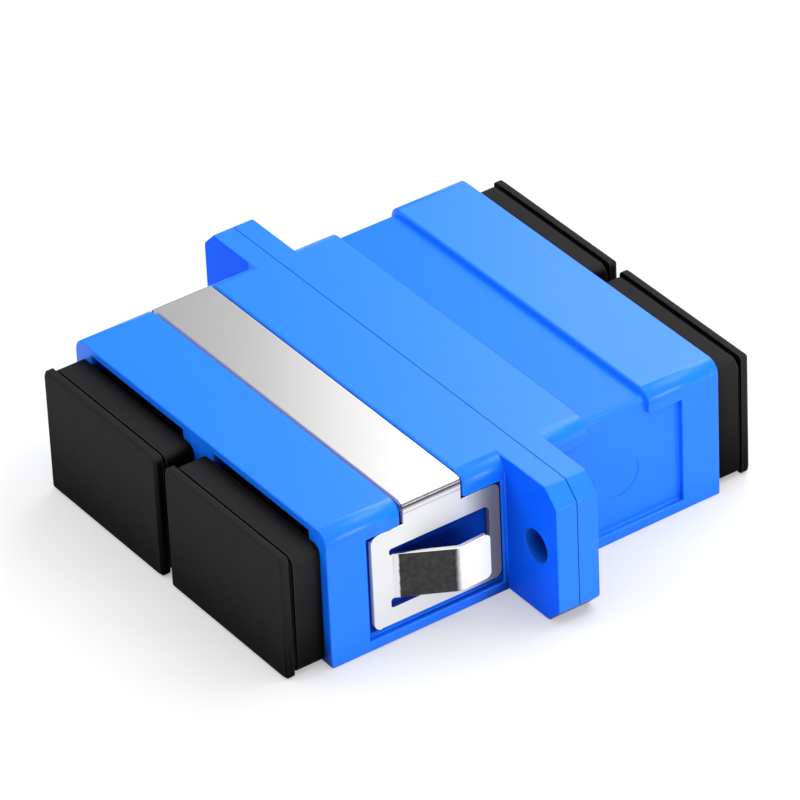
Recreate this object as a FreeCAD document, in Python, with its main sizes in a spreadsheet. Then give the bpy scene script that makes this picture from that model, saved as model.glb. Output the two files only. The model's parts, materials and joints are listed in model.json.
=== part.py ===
"""Duplex fibre adapter: two plug ports a side, screw flanges, panel clip and dust caps.

Frame, in millimetres: +X runs across the two channels, +Y from the clip end to the other
end, +Z up. The origin is the centre of the parting plane of the housing, at mid-height.
Every half-piece is drawn with its mouth towards -Y and turned about Z for the other end.
"""
import FreeCAD, Part
import math
import os
import Sketcher
from FreeCAD import Placement, Rotation, Vector

SIZES = (
    # Ports and the walls round them
    ("port_pitch", 12.7, "distance between the two optical axes"),
    ("port_width", 9.1, "clear width of a port"),
    ("port_height", 7.5, "clear height of a port"),
    ("port_corner_radius", 0.3, "inside corners of a port"),
    ("top_wall", 1.35, "wall above the ports, thick enough for the keyway"),
    ("bottom_wall", 0.45, "wall below the ports"),
    ("side_wall", 2.0, "wall beside the ports"),
    ("half_length", 13.92, "parting plane to mouth"),
    ("edge_radius", 0.9, "long top edges"),
    ("edge_break", 0.1, "small bevel of moulded edges"),
    ("mouth_step", 0.15, "widening of the mouth on each side"),
    ("mouth_roof", 0.65, "wall left above the mouth"),
    ("mouth_depth", 4.4, "length of the widened mouth"),
    ("mouth_bevel", 0.15, "lead-in round the mouth"),
    ("keyway_width", 3.4, "slot for the key of a plug"),
    ("keyway_roof", 0.3, "wall between the keyway and the strap channel"),
    ("keyway_length", 9.0, "mouth to the end of the keyway"),
    # Flange
    ("flange_reach", 4.9, "flange beyond the side of the housing"),
    ("flange_thickness", 1.49, "half of the welded flange"),
    ("flange_chamfer", 1.05, "corners of the flange"),
    ("screw_hole_radius", 1.1, "flange hole"),
    ("screw_hole_inset", 2.1, "end of the flange to the hole's centre"),
    ("peg_radius", 0.5, "locating peg on the parting plane"),
    ("peg_length", 0.6, "locating peg"),
    ("peg_inset", 1.65, "flange's top or bottom to the peg's centre"),
    ("peg_clearance", 0.06, "socket round and beyond a peg"),
    # Strap channel and side pockets
    ("channel_start", 4.42, "parting plane to the strap channel"),
    ("channel_width", 4.4, "strap channel along Y"),
    ("channel_depth", 0.45, "strap channel below the top"),
    ("pocket_rim", 0.28, "rim between the flange's face and the pocket"),
    ("pocket_length", 9.45, "side pocket along Y"),
    ("pocket_depth", 0.4, "side pocket into the side"),
    ("pocket_lip", 0.65, "lip below the pocket"),
    ("pocket_drop", 1.5, "top of the housing to the top of the pocket"),
    ("mark_radius", 1.5, "round ejector mark on the pocket's floor"),
    ("mark_depth", 0.04, "ejector mark"),
    ("mark_offset", 0.3, "ejector mark from the pocket's middle, towards the mouth"),
    # Panel clip
    ("sheet", 0.3, "spring steel strip"),
    ("strap_front_gap", 0.28, "strap to the mouth side of its channel"),
    ("strap_rear_gap", 0.1, "strap to the flange side of its channel"),
    ("fold_radius", 0.1, "inside of the fold between strap and leg"),
    ("fold_relief", 0.25, "rounding of the housing under the fold, beyond the fold's radius"),
    ("leg_front_gap", 0.4, "leg to the mouth end of the pocket"),
    ("leg_rear_gap", 0.1, "leg to the flange end of the pocket"),
    ("leg_head_gap", 0.1, "leg to the top of the pocket"),
    ("leg_foot_gap", 0.5, "leg to the pocket's lip"),
    ("leg_corner_radius", 0.5, "outer corners of a leg"),
    ("front_bar", 1.45, "leg's edge to the tongue's root"),
    ("rear_bar", 0.75, "bar beyond the tongue's tip"),
    ("top_bar", 1.3, "bar above the window"),
    ("bottom_bar", 1.15, "bar below the window"),
    ("window_radius", 0.4, "window corners at the tip"),
    ("upper_slot", 0.44, "slot above the tongue"),
    ("lower_slot", 0.64, "slot below the tongue"),
    ("slot_length", 0.25, "slots beyond the tongue's root"),
    ("slot_radius", 0.18, "rounding at the slots' ends"),
    ("tongue_lead", 0.1, "flat stretch of the tongue at its root"),
    ("tongue_ramp", 3.84, "sloping stretch"),
    ("tongue_angle", 29.5, "slope of the ramp, in degrees"),
    ("tongue_end", 2.1, "stretch that stands off the leg"),
    ("tongue_end_angle", 4, "slope of that stretch back towards the leg, in degrees"),
    ("bend_outside", 0.9, "outside of the tongue's bend"),
    ("bend_inside", 0.6, "inside of the tongue's bend"),
    # Latch inserts
    ("seat_ledge", 0.8, "base plate beyond the port on each side"),
    ("seat_gap", 0.05, "base plate to its seat"),
    ("base_thickness", 1.5, "base plate"),
    ("barrel_wall", 0.7, "wall of the barrel round the sleeve"),
    ("barrel_lip", 0.6, "lip that keeps the sleeve in"),
    ("lip_opening", 0.02, "opening of the lip beyond the sleeve's bore"),
    ("lip_bevel", 0.25, "lead-in of the lip"),
    ("hook_flex_gap", 0.65, "room behind a hook for its flexing"),
    ("hook_thickness", 0.8, "arm of a hook"),
    ("hook_width", 3.0, "arm along Z"),
    ("hook_arm", 5.2, "base plate to the catch"),
    ("hook_catch", 0.45, "catch beyond the arm"),
    ("hook_nose", 1.3, "length of the catch"),
    ("hook_lead", 0.22, "lead-in of the catch, back over its arm"),
    # Split sleeves
    ("ferrule_radius", 1.25, "bore of the sleeve"),
    ("sleeve_wall", 0.35, "sleeve"),
    ("sleeve_length", 11.4, "sleeve"),
    ("sleeve_slot", 0.5, "slot along the sleeve"),
    ("sleeve_gap", 0.05, "sleeve to the barrel round it"),
    ("sleeve_end_gap", 0.1, "sleeve to the lip at each end"),
    ("sleeve_bevel", 0.12, "bore's lead-in"),
    # Dust caps
    ("cap_spacing", 0.9, "gap between neighbouring caps"),
    ("cap_seat_gap", 0.03, "cap to the end of the housing"),
    ("cap_block", 1.85, "grip block between housing and neck"),
    ("cap_block_inset", 0.15, "grip block below the top edge of the end plate"),
    ("cap_block_radius", 1.2, "corners of the grip block"),
    ("cap_core", 0.9, "hollow of the skirt carried on into the grip block"),
    ("cap_neck", 0.25, "length of the neck"),
    ("cap_neck_depth", 0.2, "neck inside the grip block"),
    ("cap_plate", 0.6, "end plate"),
    ("cap_plate_radius", 0.35, "corners of the end plate"),
    ("cap_plate_bevel", 0.2, "front edges of the end plate"),
    ("skirt_length", 5.0, "skirt inside the port"),
    ("skirt_wall", 0.8, "skirt"),
    ("skirt_gap", 0.06, "skirt to the port's walls"),
    ("skirt_radius", 0.5, "outer corners of the skirt"),
)

AXIS_X = "(Sizes.port_pitch / 2)"
AXIS_Z = "((Sizes.bottom_wall - Sizes.top_wall) / 2)"
PORT_SIDE = "(Sizes.port_width / 2)"
PORT_TOP = "(Sizes.port_height / 2)"
HOUSING_TOP = "((Sizes.port_height + Sizes.top_wall + Sizes.bottom_wall) / 2)"
HOUSING_SIDE = "(Sizes.port_pitch / 2 + Sizes.port_width / 2 + Sizes.side_wall)"
FLANGE_END = f"({HOUSING_SIDE} + Sizes.flange_reach)"
SCREW_HOLE_X = f"({FLANGE_END} - Sizes.screw_hole_inset)"
PEG_Z = f"({HOUSING_TOP} - Sizes.peg_inset)"
CHANNEL_FLOOR = f"({HOUSING_TOP} - Sizes.channel_depth)"
CHANNEL_REAR = "(-Sizes.channel_start)"
CHANNEL_FRONT = "(-Sizes.channel_start - Sizes.channel_width)"
POCKET_FLOOR = f"({HOUSING_SIDE} - Sizes.pocket_depth)"
POCKET_REAR = "(-Sizes.flange_thickness - Sizes.pocket_rim)"
POCKET_FRONT = f"({POCKET_REAR} - Sizes.pocket_length)"
POCKET_TOP = f"({HOUSING_TOP} - Sizes.pocket_drop)"
POCKET_FOOT = f"(Sizes.pocket_lip - {HOUSING_TOP})"
SLEEVE_RADIUS = "(Sizes.ferrule_radius + Sizes.sleeve_wall)"
BARREL_BORE = f"({SLEEVE_RADIUS} + Sizes.sleeve_gap)"
BARREL_RADIUS = f"({BARREL_BORE} + Sizes.barrel_wall)"
BARREL_DEPTH = "(Sizes.sleeve_length / 2 + Sizes.sleeve_end_gap)"
LEG_FRONT = f"({POCKET_FRONT} + Sizes.leg_front_gap)"
LEG_REAR = f"({POCKET_REAR} - Sizes.leg_rear_gap)"
LEG_TOP = f"({POCKET_TOP} - Sizes.leg_head_gap)"
LEG_FOOT = f"({POCKET_FOOT} + Sizes.leg_foot_gap)"
LEG_FACE = f"({POCKET_FLOOR} + Sizes.sheet)"
WINDOW_TOP = f"({LEG_TOP} - Sizes.top_bar)"
WINDOW_FOOT = f"({LEG_FOOT} + Sizes.bottom_bar)"
TONGUE_TOP = f"({WINDOW_TOP} - Sizes.upper_slot)"
TONGUE_FOOT = f"({WINDOW_FOOT} + Sizes.lower_slot)"
TONGUE_ROOT = f"({LEG_FRONT} + Sizes.front_bar)"
STRAP_TOP = f"({CHANNEL_FLOOR} + Sizes.sheet)"
CAP_SIDE = "((Sizes.port_pitch - Sizes.cap_spacing) / 2)"
CAP_TOP = f"({PORT_TOP} + Sizes.bottom_wall)"
CAP_BLOCK_TOP = f"({CAP_TOP} - Sizes.cap_block_inset)"

ORIGIN = -1
START = 1
END = 2
CENTRE = 3
TOLERANCE = 1e-4
BEYOND = 1.0
ALONG_X = Vector(1, 0, 0)
ALONG_Y = Vector(0, 1, 0)
ALONG_Z = Vector(0, 0, 1)
HALF_TURN = 180


def make_sheet(document):
    """Spreadsheet with one named cell for each driving size."""
    sheet = document.addObject("Spreadsheet::Sheet", "Sizes")
    for row, (name, value, meaning) in enumerate(SIZES, start=1):
        sheet.set(f"A{row}", meaning)
        sheet.set(f"B{row}", str(value))
        sheet.setAlias(f"B{row}", name)
    document.recompute()


def number(item, text):
    """Present value of an expression over the sheet."""
    return float(item.evalExpression(f"1.0 * {text}"))


def new_body(document, label, turn=0, side=0, height="0"):
    """Empty body, turned about Z and moved to a channel (side -1 or 1) and a height."""
    body = document.addObject("PartDesign::Body", label)
    body.Label = label
    body.Placement = Placement(Vector(), Rotation(ALONG_Z, turn))
    body.setExpression(".Placement.Base.x", f"{side} * {AXIS_X}")
    body.setExpression(".Placement.Base.z", height)
    return body


def new_sketch(body, name, plane, lift="0"):
    """Sketch on one of the body's origin planes, lifted along the plane's normal."""
    sketch = body.newObject("Sketcher::SketchObject", name)
    support = next(item for item in body.Origin.OriginFeatures if item.Role == plane)
    sketch.AttachmentSupport = [(support, "")]
    sketch.MapMode = "FlatFace"
    sketch.setExpression(".AttachmentOffset.Base.z", lift)
    return sketch


def pin_point(sketch, element, point, place):
    """Tie one point of a sketch element to its pair of expressions."""
    for kind, text in zip(("DistanceX", "DistanceY"), place):
        value = number(sketch, text)
        rule = Sketcher.Constraint(kind, ORIGIN, START, element, point, value)
        index = sketch.addConstraint(rule)
        sketch.setExpression(f"Constraints[{index}]", text)


def draw_polygon(sketch, corners):
    """Closed outline of straight lines through the corners."""
    places = [Vector(number(sketch, across), number(sketch, up), 0) for across, up in corners]
    following = places[1:] + places[:1]
    lines = [
        sketch.addGeometry(Part.LineSegment(here, there))
        for here, there in zip(places, following)
    ]
    for line, after in zip(lines, lines[1:] + lines[:1]):
        sketch.addConstraint(Sketcher.Constraint("Coincident", line, END, after, START))
    for line, corner in zip(lines, corners):
        pin_point(sketch, line, START, corner)


def draw_rectangle(sketch, left, right, low, high):
    """Rectangle between four expressions."""
    draw_polygon(sketch, ((left, low), (right, low), (right, high), (left, high)))


def tie_radius(sketch, element, radius):
    """Tie the radius of a circle or an arc to an expression."""
    rule = Sketcher.Constraint("Radius", element, number(sketch, radius))
    index = sketch.addConstraint(rule)
    sketch.setExpression(f"Constraints[{index}]", radius)


def draw_circle(sketch, across, up, radius):
    """Circle about a centre given by two expressions."""
    middle = Vector(number(sketch, across), number(sketch, up), 0)
    circle = sketch.addGeometry(Part.Circle(middle, ALONG_Z, number(sketch, radius)))
    pin_point(sketch, circle, CENTRE, (across, up))
    tie_radius(sketch, circle, radius)


def draw_rounded_rectangle(sketch, half_width, half_height, radius):
    """Rectangle about the sketch's origin, with a tangent arc at each corner."""
    arcs = []
    for turns, (side, level) in enumerate((("", ""), ("-", ""), ("-", "-"), ("", "-"))):
        place = (f"{side}({half_width} - {radius})", f"{level}({half_height} - {radius})")
        centre = Vector(number(sketch, place[0]), number(sketch, place[1]), 0)
        circle = Part.Circle(centre, ALONG_Z, number(sketch, radius))
        first = turns * math.pi / 2
        arc = sketch.addGeometry(Part.ArcOfCircle(circle, first, first + math.pi / 2))
        pin_point(sketch, arc, CENTRE, place)
        arcs.append(arc)
    for arc, after in zip(arcs, arcs[1:] + arcs[:1]):
        ends = (sketch.getPoint(arc, END), sketch.getPoint(after, START))
        line = sketch.addGeometry(Part.LineSegment(*ends))
        sketch.addConstraint(Sketcher.Constraint("Tangent", arc, END, line, START))
        sketch.addConstraint(Sketcher.Constraint("Tangent", line, END, after, START))
    for arc in arcs[1:]:
        sketch.addConstraint(Sketcher.Constraint("Equal", arcs[0], arc))
    tie_radius(sketch, arcs[0], radius)


def pad(body, name, sketch, length, backward=False, symmetric=False):
    """Raise a sketch into material along its normal, or against it when backward."""
    feature = body.newObject("PartDesign::Pad", name)
    feature.Profile = sketch
    feature.setExpression("Length", length)
    feature.Reversed = backward
    feature.SideType = "Symmetric" if symmetric else "One side"
    body.Document.recompute()
    return feature


def cut(body, name, sketch, length, backward=False, symmetric=False):
    """Sink a sketch against its normal, or along it when backward, and see that it cuts."""
    before = body.Shape.Volume
    feature = body.newObject("PartDesign::Pocket", name)
    feature.Profile = sketch
    feature.setExpression("Length", length)
    feature.Reversed = backward
    feature.SideType = "Symmetric" if symmetric else "One side"
    body.Document.recompute()
    if body.Shape.Volume >= before:
        raise ValueError(f"{body.Label}: {name} removes nothing")
    return feature


def mirror(body, name, feature):
    """Repeat a feature on the other side of the body's YZ plane."""
    plane = next(item for item in body.Origin.OriginFeatures if item.Role == "YZ_Plane")
    copy = body.newObject("PartDesign::Mirrored", name)
    copy.Originals = [feature]
    copy.MirrorPlane = (plane, [""])
    body.Tip = copy
    body.Document.recompute()
    return copy


def near(value, target):
    """True where two lengths are the same."""
    return abs(value - target) < TOLERANCE


def runs_along(edge, direction):
    """True for a straight edge that runs along the direction."""
    if not isinstance(edge.Curve, Part.Line):
        return False
    return near(abs(edge.Curve.Direction.dot(direction)), 1)


def middle_of(edge):
    """Point halfway along an edge."""
    return edge.valueAt((edge.FirstParameter + edge.LastParameter) / 2)


def dress_edges(body, kind, name, size, chosen):
    """Fillet or Chamfer the edges of the body for which chosen(edge, middle) is true."""
    base = body.Tip
    names = [
        f"Edge{index}"
        for index, edge in enumerate(base.Shape.Edges, start=1)
        if chosen(edge, middle_of(edge))
    ]
    if not names:
        raise ValueError(f"{body.Label}: {name} finds no edge")
    feature = body.newObject(f"PartDesign::{kind}", name)
    feature.Base = (base, names)
    feature.setExpression("Radius" if kind == "Fillet" else "Size", size)
    body.Document.recompute()
    return feature


def add_housing_block(body):
    """Plain block of the half, with its long top edges and its mouth end rounded."""
    side = number(body, HOUSING_SIDE)
    top = number(body, HOUSING_TOP)
    mouth = -number(body, "Sizes.half_length")
    block = new_sketch(body, "BlockSketch", "XZ_Plane")
    draw_rectangle(block, f"-{HOUSING_SIDE}", HOUSING_SIDE, f"-{HOUSING_TOP}", HOUSING_TOP)
    pad(body, "Block", block, "Sizes.half_length")
    dress_edges(
        body, "Fillet", "TopEdges", "Sizes.edge_radius",
        lambda edge, middle: runs_along(edge, ALONG_Y)
        and near(middle.z, top) and near(abs(middle.x), side),
    )
    dress_edges(
        body, "Chamfer", "MouthEdges", "Sizes.edge_break",
        lambda edge, middle: near(middle.y, mouth),
    )


def cut_strap_channel(body):
    """Shallow channel across the top for the strap of the clip."""
    channel = new_sketch(body, "ChannelSketch", "YZ_Plane")
    over = f"({HOUSING_TOP} + {BEYOND})"
    draw_rectangle(channel, CHANNEL_FRONT, CHANNEL_REAR, CHANNEL_FLOOR, over)
    cut(body, "StrapChannel", channel, f"2 * {HOUSING_SIDE} + {BEYOND}", symmetric=True)


def cut_side_pockets(body):
    """Pocket in each side for a leg of the clip, open to the strap channel above."""
    over = f"({HOUSING_TOP} + {BEYOND})"
    outline = new_sketch(body, "PocketSketch", "YZ_Plane", HOUSING_SIDE)
    draw_polygon(outline, (
        (POCKET_FRONT, POCKET_FOOT),
        (POCKET_REAR, POCKET_FOOT),
        (POCKET_REAR, POCKET_TOP),
        (CHANNEL_REAR, POCKET_TOP),
        (CHANNEL_REAR, over),
        (CHANNEL_FRONT, over),
        (CHANNEL_FRONT, POCKET_TOP),
        (POCKET_FRONT, POCKET_TOP),
    ))
    mirror(body, "SidePockets", cut(body, "SidePocket", outline, "Sizes.pocket_depth"))
    mark = new_sketch(body, "MarkSketch", "YZ_Plane", POCKET_FLOOR)
    mark_y = f"(({POCKET_FRONT} + {POCKET_REAR}) / 2 - Sizes.mark_offset)"
    mark_z = f"(({POCKET_TOP} + {POCKET_FOOT}) / 2)"
    draw_circle(mark, mark_y, mark_z, "Sizes.mark_radius")
    mirror(body, "EjectorMarks", cut(body, "EjectorMark", mark, "Sizes.mark_depth"))


def round_channel_edges(body):
    """Round the channel's shoulders and its floor where the strap folds down."""
    floor = number(body, CHANNEL_FLOOR)
    top = number(body, HOUSING_TOP)
    pocket_floor = number(body, POCKET_FLOOR)
    pocket_front = number(body, POCKET_FRONT)
    dress_edges(
        body, "Fillet", "FoldEdges", "Sizes.fold_radius + Sizes.fold_relief",
        lambda edge, middle: runs_along(edge, ALONG_Y)
        and near(middle.z, floor) and near(abs(middle.x), pocket_floor),
    )
    dress_edges(
        body, "Chamfer", "ChannelEdges", "Sizes.edge_break",
        lambda edge, middle: runs_along(edge, ALONG_X)
        and near(middle.z, top) and middle.y > pocket_front,
    )


def add_flange(body):
    """Half of the screw flange, with its four corners cut off and two holes."""
    inner_x = f"({FLANGE_END} - Sizes.flange_chamfer)"
    inner_z = f"({HOUSING_TOP} - Sizes.flange_chamfer)"
    plate = new_sketch(body, "FlangeSketch", "XZ_Plane")
    draw_polygon(plate, (
        (f"-{inner_x}", f"-{HOUSING_TOP}"),
        (inner_x, f"-{HOUSING_TOP}"),
        (FLANGE_END, f"-{inner_z}"),
        (FLANGE_END, inner_z),
        (inner_x, HOUSING_TOP),
        (f"-{inner_x}", HOUSING_TOP),
        (f"-{FLANGE_END}", inner_z),
        (f"-{FLANGE_END}", f"-{inner_z}"),
    ))
    pad(body, "Flange", plate, "Sizes.flange_thickness")
    side = number(body, HOUSING_SIDE)
    face = -number(body, "Sizes.flange_thickness")
    dress_edges(
        body, "Chamfer", "FlangeEdges", "Sizes.edge_break",
        lambda edge, middle: near(middle.y, face) and abs(middle.x) > side + TOLERANCE,
    )
    holes = new_sketch(body, "ScrewHoleSketch", "XZ_Plane")
    for sign in ("-", ""):
        draw_circle(holes, f"{sign}{SCREW_HOLE_X}", "0", "Sizes.screw_hole_radius")
    cut(body, "ScrewHoles", holes, f"Sizes.flange_thickness + {BEYOND}", backward=True)


def add_locating_pegs(body):
    """Two pegs on one end of the parting plane and two sockets on the other."""
    pegs = new_sketch(body, "PegSketch", "XZ_Plane")
    sockets = new_sketch(body, "SocketSketch", "XZ_Plane")
    for sign in ("-", ""):
        draw_circle(pegs, SCREW_HOLE_X, f"{sign}{PEG_Z}", "Sizes.peg_radius")
        draw_circle(
            sockets, f"-{SCREW_HOLE_X}", f"{sign}{PEG_Z}",
            "Sizes.peg_radius + Sizes.peg_clearance",
        )
    pad(body, "LocatingPegs", pegs, "Sizes.peg_length", backward=True)
    cut(body, "Sockets", sockets, "Sizes.peg_length + Sizes.peg_clearance", backward=True)


def cut_ports(body):
    """Two ports with widened mouths, keyways and seats for the latch inserts."""
    port = new_sketch(body, "PortSketch", "XZ_Plane")
    mouth = new_sketch(body, "MouthSketch", "XZ_Plane", "Sizes.half_length")
    keyway = new_sketch(body, "KeywaySketch", "XZ_Plane", "Sizes.half_length")
    seat = new_sketch(body, "SeatSketch", "XZ_Plane")
    low = f"({AXIS_Z} - {PORT_TOP})"
    high = f"({AXIS_Z} + {PORT_TOP})"
    for sign in ("-", ""):
        axis = f"{sign}{AXIS_X}"
        rows = (
            (port, PORT_SIDE, high),
            (mouth, f"({PORT_SIDE} + Sizes.mouth_step)", f"({HOUSING_TOP} - Sizes.mouth_roof)"),
            (keyway, "(Sizes.keyway_width / 2)", f"({CHANNEL_FLOOR} - Sizes.keyway_roof)"),
            (seat, f"({PORT_SIDE} + Sizes.seat_ledge)", high),
        )
        for sketch, reach, roof in rows:
            draw_rectangle(sketch, f"{axis} - {reach}", f"{axis} + {reach}", low, roof)
    cut(body, "Ports", port, "Sizes.half_length", backward=True)
    port_side = number(body, PORT_SIDE)
    axis_x = number(body, AXIS_X)
    roof_z = number(body, f"{HOUSING_TOP} - Sizes.mouth_roof") + TOLERANCE
    dress_edges(
        body, "Fillet", "PortCorners", "Sizes.port_corner_radius",
        lambda edge, middle: runs_along(edge, ALONG_Y)
        and near(abs(abs(middle.x) - axis_x), port_side),
    )
    cut(body, "Mouths", mouth, "Sizes.mouth_depth")
    mouth_y = -number(body, "Sizes.half_length")
    mouth_reach = number(body, f"{PORT_SIDE} + Sizes.mouth_step")
    dress_edges(
        body, "Chamfer", "MouthBevels", "Sizes.mouth_bevel",
        lambda edge, middle: near(middle.y, mouth_y)
        and abs(abs(middle.x) - axis_x) < mouth_reach + TOLERANCE and abs(middle.z) < roof_z,
    )
    cut(body, "Keyways", keyway, "Sizes.keyway_length")
    cut(body, "InsertSeats", seat, "Sizes.base_thickness", backward=True)


def make_housing_half(document, label, turn):
    """Moulded half of the housing, the same for both ends."""
    body = new_body(document, label, turn)
    add_housing_block(body)
    cut_strap_channel(body)
    cut_side_pockets(body)
    round_channel_edges(body)
    add_flange(body)
    cut_ports(body)
    add_locating_pegs(body)


def add_hooks(body):
    """Latch hook on each side of the barrel, drawn from above and raised along Z."""
    back = f"({PORT_SIDE} - Sizes.hook_flex_gap)"
    face = f"({back} - Sizes.hook_thickness)"
    base = "(-Sizes.base_thickness)"
    step = "(-Sizes.base_thickness - Sizes.hook_arm)"
    crest = f"({step} - Sizes.hook_catch)"
    tip = f"({step} - Sizes.hook_nose)"
    outline = new_sketch(body, "HookSketch", "XY_Plane")
    draw_polygon(outline, (
        (back, base),
        (face, base),
        (face, step),
        (f"{face} - Sizes.hook_catch", crest),
        (f"{face} + Sizes.hook_lead", tip),
        (back, tip),
    ))
    mirror(body, "Hooks", pad(body, "Hook", outline, "Sizes.hook_width", symmetric=True))


def make_latch_insert(document, label, turn, side):
    """Base plate, barrel for half of the sleeve and two latch hooks, in one moulding."""
    body = new_body(document, label, turn, side, AXIS_Z)
    base = new_sketch(body, "BaseSketch", "XZ_Plane")
    reach = f"({PORT_SIDE} + Sizes.seat_ledge - Sizes.seat_gap)"
    rise = f"({PORT_TOP} - Sizes.seat_gap)"
    draw_rectangle(base, f"-{reach}", reach, f"-{rise}", rise)
    pad(body, "BasePlate", base, "Sizes.base_thickness")
    barrel = new_sketch(body, "BarrelSketch", "XZ_Plane")
    draw_circle(barrel, "0", "0", BARREL_RADIUS)
    pad(body, "Barrel", barrel, f"{BARREL_DEPTH} + Sizes.barrel_lip")
    add_hooks(body)
    bore = new_sketch(body, "SleeveBoreSketch", "XZ_Plane")
    draw_circle(bore, "0", "0", BARREL_BORE)
    cut(body, "SleeveBore", bore, BARREL_DEPTH, backward=True)
    lip = new_sketch(body, "LipSketch", "XZ_Plane")
    draw_circle(lip, "0", "0", "Sizes.ferrule_radius + Sizes.lip_opening")
    cut(body, "LipHole", lip, f"{BARREL_DEPTH} + Sizes.barrel_lip + {BEYOND}", backward=True)
    front = -number(body, f"{BARREL_DEPTH} + Sizes.barrel_lip")
    dress_edges(
        body, "Chamfer", "LipBevels", "Sizes.lip_bevel",
        lambda edge, middle: isinstance(edge.Curve, Part.Circle) and near(middle.y, front),
    )


def make_sleeve(document, label, side):
    """Split sleeve that holds two ferrules in line, with its slot along the top."""
    body = new_body(document, label, 0, side, AXIS_Z)
    ring = new_sketch(body, "RingSketch", "XZ_Plane")
    draw_circle(ring, "0", "0", SLEEVE_RADIUS)
    draw_circle(ring, "0", "0", "Sizes.ferrule_radius")
    pad(body, "Ring", ring, "Sizes.sleeve_length", symmetric=True)
    bore_radius = number(body, "Sizes.ferrule_radius")
    dress_edges(
        body, "Chamfer", "BoreBevels", "Sizes.sleeve_bevel",
        lambda edge, middle: isinstance(edge.Curve, Part.Circle)
        and near(edge.Curve.Radius, bore_radius),
    )
    slot = new_sketch(body, "SlotSketch", "XZ_Plane")
    half = "(Sizes.sleeve_slot / 2)"
    draw_rectangle(slot, f"-{half}", half, "0", f"{SLEEVE_RADIUS} + {BEYOND}")
    cut(body, "Slot", slot, f"Sizes.sleeve_length + {BEYOND}", symmetric=True)


def fold_clip_strip(body):
    """Strip as wide as a leg, folded over the housing, then narrowed to the strap."""
    strip = new_sketch(body, "StripSketch", "XZ_Plane", f"-{LEG_REAR}")
    draw_polygon(strip, (
        (f"-{LEG_FACE}", LEG_FOOT),
        (f"-{LEG_FACE}", STRAP_TOP),
        (LEG_FACE, STRAP_TOP),
        (LEG_FACE, LEG_FOOT),
        (POCKET_FLOOR, LEG_FOOT),
        (POCKET_FLOOR, CHANNEL_FLOOR),
        (f"-{POCKET_FLOOR}", CHANNEL_FLOOR),
        (f"-{POCKET_FLOOR}", LEG_FOOT),
    ))
    pad(body, "Strip", strip, f"{LEG_REAR} - {LEG_FRONT}")
    strap_top = number(body, STRAP_TOP)
    strap_foot = number(body, CHANNEL_FLOOR)
    floor_x = number(body, POCKET_FLOOR)
    dress_edges(
        body, "Fillet", "FoldOutside", "Sizes.fold_radius + Sizes.sheet",
        lambda edge, middle: runs_along(edge, ALONG_Y) and near(middle.z, strap_top),
    )
    dress_edges(
        body, "Fillet", "FoldInside", "Sizes.fold_radius",
        lambda edge, middle: runs_along(edge, ALONG_Y)
        and near(middle.z, strap_foot) and near(abs(middle.x), floor_x),
    )
    over = f"({STRAP_TOP} + {BEYOND})"
    trim = new_sketch(body, "TrimSketch", "YZ_Plane")
    strap_front = f"({CHANNEL_FRONT} + Sizes.strap_front_gap)"
    strap_rear = f"({CHANNEL_REAR} - Sizes.strap_rear_gap)"
    draw_rectangle(trim, f"{LEG_FRONT} - {BEYOND}", strap_front, LEG_TOP, over)
    draw_rectangle(trim, strap_rear, f"{LEG_REAR} + {BEYOND}", LEG_TOP, over)
    cut(body, "StrapTrim", trim, f"2 * {LEG_FACE} + {BEYOND}", symmetric=True)


def cut_clip_windows(body):
    """Window in each leg, with a slot running past each side of the tongue's root."""
    slot_end = f"({TONGUE_ROOT} - Sizes.slot_length)"
    window_end = f"({LEG_REAR} - Sizes.rear_bar)"
    window = new_sketch(body, "WindowSketch", "YZ_Plane")
    draw_polygon(window, (
        (slot_end, WINDOW_FOOT),
        (window_end, WINDOW_FOOT),
        (window_end, WINDOW_TOP),
        (slot_end, WINDOW_TOP),
        (slot_end, TONGUE_TOP),
        (TONGUE_ROOT, TONGUE_TOP),
        (TONGUE_ROOT, TONGUE_FOOT),
        (slot_end, TONGUE_FOOT),
    ))
    cut(body, "Windows", window, f"2 * {LEG_FACE} + {BEYOND}", symmetric=True)
    slot_front = number(body, slot_end)
    dress_edges(
        body, "Fillet", "SlotEnds", "Sizes.slot_radius",
        lambda edge, middle: runs_along(edge, ALONG_X) and near(middle.y, slot_front),
    )
    window_rear = number(body, window_end)
    dress_edges(
        body, "Fillet", "WindowCorners", "Sizes.window_radius",
        lambda edge, middle: runs_along(edge, ALONG_X) and near(middle.y, window_rear),
    )


def round_leg_corners(body):
    """Round the four outer corners of each leg."""
    front = number(body, LEG_FRONT)
    rear = number(body, LEG_REAR)
    dress_edges(
        body, "Fillet", "LegCorners", "Sizes.leg_corner_radius",
        lambda edge, middle: runs_along(edge, ALONG_X)
        and (near(middle.y, front) or near(middle.y, rear)),
    )


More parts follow.
